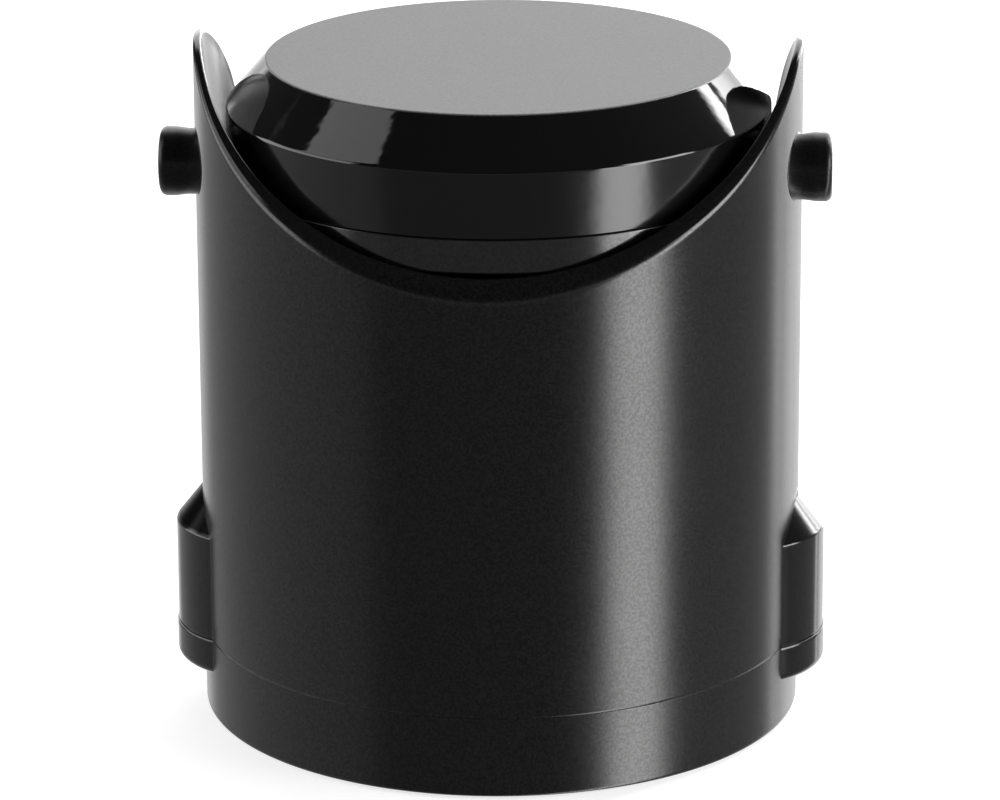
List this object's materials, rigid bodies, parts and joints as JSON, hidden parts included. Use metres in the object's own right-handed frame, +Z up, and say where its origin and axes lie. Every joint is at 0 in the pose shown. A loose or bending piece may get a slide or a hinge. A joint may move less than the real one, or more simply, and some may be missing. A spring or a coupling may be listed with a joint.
{
  "type": "film developing tank",
  "caption": "Round black film developing tank: inner tank with bevelled lid, funnel, ratchet reel and column, standing in a sleeve with two raised ears, side pegs and side lobes.",
  "frame": {"origin": "centre of the rest face, under the foot ring", "axes": "+Z up along the tank's axis; -Y is the front, from where the rim of the sleeve rises to the two ears; the two pegs and the two side lobes are at -X and +X"},
  "size_m": [0.1052, 0.096, 0.1102],
  "materials": {
    "shell_plastic": "satin moulded black plastic with a fine grain",
    "lid_plastic": "black plastic, polished bevel and fine matt top",
    "tank_plastic": "satin black plastic",
    "peg_plastic": "semi-gloss black plastic",
    "reel_plastic": "milky white plastic",
    "seal_rubber": "black rubber",
    "screw_steel": "bright steel",
    "ball_steel": "polished steel",
    "insert_brass": "turned brass"
  },
  "bodies": {
    "sleeve": {"outer_sleeve": "shell_plastic", "base_cap": "shell_plastic", "base_seal": "seal_rubber", "foot_ring": "seal_rubber", "peg_left": "peg_plastic", "peg_right": "peg_plastic", "peg_washers": "peg_plastic", "base_screws": "screw_steel", "screw_inserts": "insert_brass"},
    "tank": {"inner_tank": "tank_plastic"},
    "funnel": {"light_trap_funnel": "tank_plastic", "funnel_seal": "seal_rubber"},
    "lid": {"lid_cap": "lid_plastic", "lid_seal": "seal_rubber"},
    "column": {"centre_column": "tank_plastic", "reel_flange_lower": "reel_plastic"},
    "reel_top": {"reel_flange_upper": "reel_plastic"},
    "clip": {"reel_clip": "peg_plastic"},
    "ball_low": {"feed_ball_lower": "ball_steel"},
    "ball_high": {"feed_ball_upper": "ball_steel"}
  },
  "joints": [
    {"name": "tank_lift", "type": "slide", "parent": "sleeve", "child": "tank", "axis": [0, 0, 1], "range_m": [0, 0.11]},
    {"name": "funnel_lift", "type": "slide", "parent": "tank", "child": "funnel", "axis": [0, 0, 1], "range_m": [0, 0.06]},
    {"name": "lid_lift", "type": "slide", "parent": "funnel", "child": "lid", "axis": [0, 0, 1], "range_m": [0, 0.05]},
    {"name": "column_spin", "type": "hinge", "parent": "tank", "child": "column", "pos_m": [0, 0, 0.01], "axis": [0, 0, 1], "continuous": true},
    {"name": "reel_ratchet", "type": "hinge", "parent": "column", "child": "reel_top", "pos_m": [0, 0, 0.04], "axis": [0, 0, 1], "range_deg": [-30, 30]},
    {"name": "clip_slide", "type": "slide", "parent": "column", "child": "clip", "axis": [0, 0, 1], "range_m": [0, 0.0018]},
    {"name": "ball_low_roll", "type": "slide", "parent": "column", "child": "ball_low", "axis": [0, 1, 0], "range_m": [0, 0.0018]},
    {"name": "ball_high_roll", "type": "slide", "parent": "reel_top", "child": "ball_high", "axis": [0, 1, 0], "range_m": [0, 0.0018]}
  ]
}
